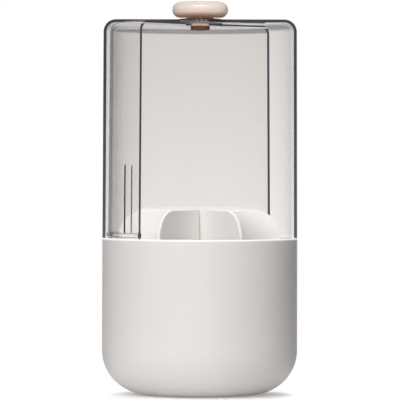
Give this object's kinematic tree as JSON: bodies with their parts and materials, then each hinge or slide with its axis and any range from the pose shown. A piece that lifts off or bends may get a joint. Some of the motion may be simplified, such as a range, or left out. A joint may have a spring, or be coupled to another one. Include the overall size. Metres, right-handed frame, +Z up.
{
  "type": "dustproof makeup organizer",
  "caption": "Round white bucket with a star-shaped divider insert under a clear dome; a curved clear door turns about the pebble-shaped knob on top and runs in a track at the rim.",
  "frame": {"origin": "middle of the base, on the surface that the feet stand on", "axes": "+Z up along the bucket's axis and the door's pivot; -Y to the front, +Y through the middle of the fixed rear shell; +X to the right seen from the front"},
  "size_m": [0.13, 0.13, 0.2624],
  "materials": {
    "bucket_plastic": "fine matt warm white",
    "divider_plastic": "smooth satin warm white",
    "foot_rubber": "soft grey rubber",
    "clear_plastic": "clear with a slight warm grey tint, polished",
    "knob_plastic": "glossy pale pink beige",
    "washer_plastic": "plain natural nylon",
    "cap_plastic": "glossy brown",
    "screw_steel": "plain bright steel",
    "insert_brass": "plain brass"
  },
  "bodies": {
    "bucket": {"bucket_shell": "bucket_plastic", "track_ring": "bucket_plastic", "foot_pads": "foot_rubber", "fixed_shell": "clear_plastic", "neck_bush": "knob_plastic"},
    "door": {"door_shell": "clear_plastic", "hub_washer": "washer_plastic", "knob": "knob_plastic", "knob_insert": "insert_brass", "knob_neck": "knob_plastic", "retaining_cap": "cap_plastic", "screw_washer": "screw_steel", "cap_screw": "screw_steel"},
    "divider": {"divider_plate_low": "divider_plastic", "divider_plate_mid": "divider_plastic", "divider_plate_top": "divider_plastic"}
  },
  "joints": [
    {"name": "door_turn", "type": "hinge", "parent": "bucket", "child": "door", "pos_m": [0, 0, 0.2501], "axis": [0, 0, 1], "range_deg": [-44.2, 135.8]},
    {"name": "divider_lift", "type": "slide", "parent": "bucket", "child": "divider", "axis": [0, 0, 1], "range_m": [0, 0.11]}
  ]
}
